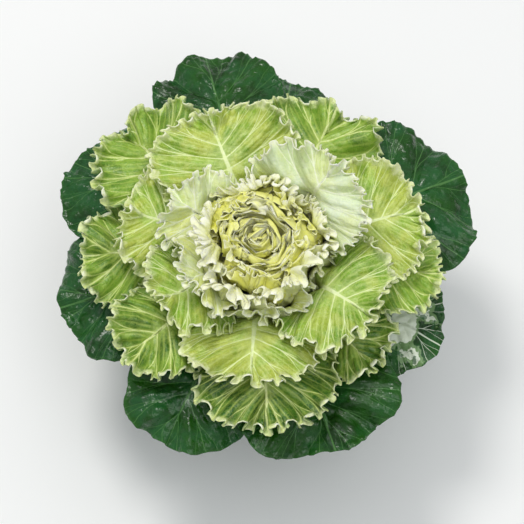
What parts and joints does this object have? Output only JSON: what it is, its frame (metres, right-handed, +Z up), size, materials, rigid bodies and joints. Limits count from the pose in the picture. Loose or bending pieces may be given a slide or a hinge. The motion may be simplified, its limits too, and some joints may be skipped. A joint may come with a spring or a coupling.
{
  "type": "ornamental kale plant",
  "caption": "Ornamental kale with a cream heart, ruffled lime leaves and broad green outer leaves, growing on a short stem in a plain round nursery pot of potting soil.",
  "frame": {"origin": "centre of the pot's flat underside", "axes": "+Z up along the pot's axis, -Y towards the side from which the plant is mostly seen, towards which the head leans a little"},
  "size_m": [0.2321, 0.246, 0.1743],
  "materials": {
    "pot": "matte",
    "soil": "matte",
    "stem": "satin",
    "heart_leaf": "satin",
    "cream_leaf": "satin",
    "lime_leaf": "satin",
    "frilled_leaf": "satin",
    "outer_leaf": "gloss"
  },
  "bodies": {
    "root": {"nursery_pot": "pot", "potting_soil": "soil", "stem": "stem", "heart_bud": "heart_leaf", "inner_heart_leaf_1": "heart_leaf", "inner_heart_leaf_2": "heart_leaf", "inner_heart_leaf_3": "heart_leaf", "inner_heart_leaf_4": "heart_leaf", "outer_heart_leaf_1": "heart_leaf", "outer_heart_leaf_2": "heart_leaf", "outer_heart_leaf_3": "heart_leaf", "outer_heart_leaf_4": "heart_leaf", "outer_heart_leaf_5": "heart_leaf", "cup_leaf_1": "cream_leaf", "cup_leaf_2": "cream_leaf", "cup_leaf_3": "cream_leaf", "cup_leaf_4": "cream_leaf", "cup_leaf_5": "cream_leaf", "cream_leaf_1": "cream_leaf", "cream_leaf_2": "cream_leaf", "cream_leaf_3": "cream_leaf", "cream_leaf_4": "cream_leaf", "lime_leaf_1": "lime_leaf", "lime_leaf_2": "lime_leaf", "lime_leaf_3": "lime_leaf", "lime_leaf_4": "lime_leaf", "lime_leaf_5": "lime_leaf", "lime_leaf_6": "lime_leaf", "frilled_leaf_1": "frilled_leaf", "frilled_leaf_2": "frilled_leaf", "frilled_leaf_3": "frilled_leaf", "frilled_leaf_4": "frilled_leaf", "frilled_leaf_5": "frilled_leaf", "frilled_leaf_6": "frilled_leaf", "frilled_leaf_7": "frilled_leaf", "outer_leaf_1": "outer_leaf", "outer_leaf_2": "outer_leaf", "outer_leaf_3": "outer_leaf", "outer_leaf_4": "outer_leaf", "outer_leaf_5": "outer_leaf", "outer_leaf_6": "outer_leaf", "outer_leaf_7": "outer_leaf", "outer_leaf_8": "outer_leaf"}
  },
  "joints": []
}
